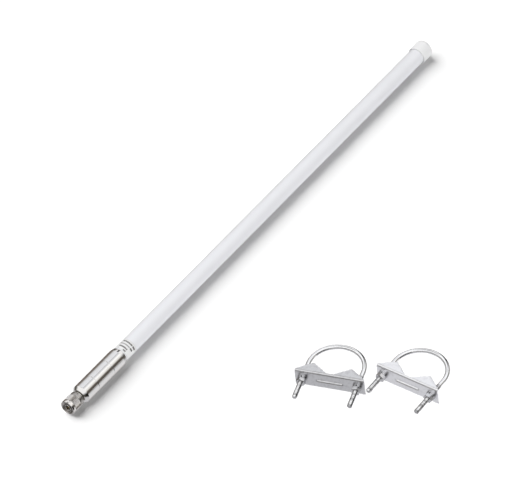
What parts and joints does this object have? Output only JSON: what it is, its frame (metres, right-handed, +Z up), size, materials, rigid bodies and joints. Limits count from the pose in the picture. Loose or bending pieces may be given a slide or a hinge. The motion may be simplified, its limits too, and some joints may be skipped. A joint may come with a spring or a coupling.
{
  "type": "omnidirectional antenna",
  "caption": "White fibreglass stick antenna with a metal base ferrule and a screw-on coaxial plug, lying beside its U-bolt mast clamps with toothed saddles.",
  "frame": {"origin": "on the antenna's axis, at the free end of the plug's outer contact", "axes": "+X along the antenna from plug to tip, +Z up from the surface that the antenna and its clamps lie on"},
  "size_m": [0.697, 0.3594, 0.0238],
  "materials": {
    "radome": "white glass-fibre tube with a glossy clear skin",
    "cap_plastic": "white moulded plastic, satin",
    "foam": "closed-cell foam",
    "ferrule_nickel": "polished nickel plate on brass",
    "adhesive": "cured epoxy",
    "sealant": "neutral silicone sealant",
    "label": "white vinyl sticker with plain grey bars",
    "contact_nickel": "nickel-plated brass",
    "ptfe": "white PTFE",
    "gold_plate": "gold-plated contact",
    "plug_nickel": "nickel plate on brass",
    "spring_steel": "phosphor-bronze or spring-steel snap ring",
    "seal_rubber": "red silicone rubber",
    "copper": "bare copper",
    "bare_brass": "bare brass",
    "zinc_rod": "bright zinc plate on rolled rod",
    "zinc_sheet": "bright zinc plate on stamped sheet",
    "zinc_hardware": "bright zinc plate"
  },
  "bodies": {
    "antenna": {"radome_tube": "radome", "end_cap": "cap_plastic", "tip_pad": "foam", "base_ferrule": "ferrule_nickel", "ferrule_bond": "adhesive", "ferrule_seal": "sealant", "id_label": "label", "contact_sleeve": "contact_nickel", "front_insulator": "ptfe", "centre_pin": "gold_plate", "connector_body": "plug_nickel", "nut_retaining_ring": "spring_steel", "connector_gasket": "seal_rubber", "body_gasket": "seal_rubber", "feed_outer": "copper", "feed_dielectric": "ptfe", "feed_core": "copper", "decoupling_sleeve": "bare_brass", "lower_radiator": "bare_brass", "upper_radiator": "bare_brass", "coil_former": "ptfe", "phasing_coil": "copper", "feed_spacer": "foam", "lower_spacer": "foam", "upper_spacer": "foam"},
    "plug_nut": {"coupling_nut": "plug_nickel"},
    "left_bolt": {"left_u_bolt": "zinc_rod"},
    "left_jaw": {"left_saddle": "zinc_sheet", "left_flat_washers": "zinc_hardware", "left_spring_washers": "zinc_hardware"},
    "left_hex_a": {"left_nut_a": "zinc_hardware"},
    "left_hex_b": {"left_nut_b": "zinc_hardware"},
    "right_bolt": {"right_u_bolt": "zinc_rod"},
    "right_jaw": {"right_saddle": "zinc_sheet", "right_flat_washers": "zinc_hardware", "right_spring_washers": "zinc_hardware"},
    "right_hex_a": {"right_nut_a": "zinc_hardware"},
    "right_hex_b": {"right_nut_b": "zinc_hardware"}
  },
  "joints": [
    {"name": "plug_nut_turn", "type": "hinge", "parent": "antenna", "child": "plug_nut", "pos_m": [0, 0, 0], "axis": [1, 0, 0], "continuous": true},
    {"name": "left_clamp_lift", "type": "slide", "parent": "antenna", "child": "left_bolt", "axis": [0, 0, 1], "range_m": [0, 0.1]},
    {"name": "left_jaw_slide", "type": "slide", "parent": "left_bolt", "child": "left_jaw", "axis": [0.9432, 0.3322, 0], "range_m": [-0.01, 0.019]},
    {"name": "left_nut_a_turn", "type": "hinge", "parent": "left_jaw", "child": "left_hex_a", "pos_m": [0.18104, -0.19926, 0.0005], "axis": [0.9432, 0.3322, 0], "range_deg": [-3601, 6841]},
    {"name": "left_nut_b_turn", "type": "hinge", "parent": "left_jaw", "child": "left_hex_b", "pos_m": [0.20276, -0.26094, 0.0005], "axis": [0.9432, 0.3322, 0], "range_deg": [-3601, 6841]},
    {"name": "right_clamp_lift", "type": "slide", "parent": "antenna", "child": "right_bolt", "axis": [0, 0, 1], "range_m": [0, 0.1]},
    {"name": "right_jaw_slide", "type": "slide", "parent": "right_bolt", "child": "right_jaw", "axis": [0.9991, 0.0419, 0], "range_m": [-0.01, 0.019]},
    {"name": "right_nut_a_turn", "type": "hinge", "parent": "right_jaw", "child": "right_hex_a", "pos_m": [0.23536, -0.27398, 0.0005], "axis": [0.9991, 0.0419, 0], "range_deg": [-3601, 6841]},
    {"name": "right_nut_b_turn", "type": "hinge", "parent": "right_jaw", "child": "right_hex_b", "pos_m": [0.2381, -0.33932, 0.0005], "axis": [0.9991, 0.0419, 0], "range_deg": [-3601, 6841]}
  ],
  "couplings": [
    {"joint": "left_nut_a_turn", "follows": "left_jaw_slide", "rad_per_m": 6283.2},
    {"joint": "left_nut_b_turn", "follows": "left_jaw_slide", "rad_per_m": 6283.2},
    {"joint": "right_nut_a_turn", "follows": "right_jaw_slide", "rad_per_m": 6283.2},
    {"joint": "right_nut_b_turn", "follows": "right_jaw_slide", "rad_per_m": 6283.2}
  ]
}
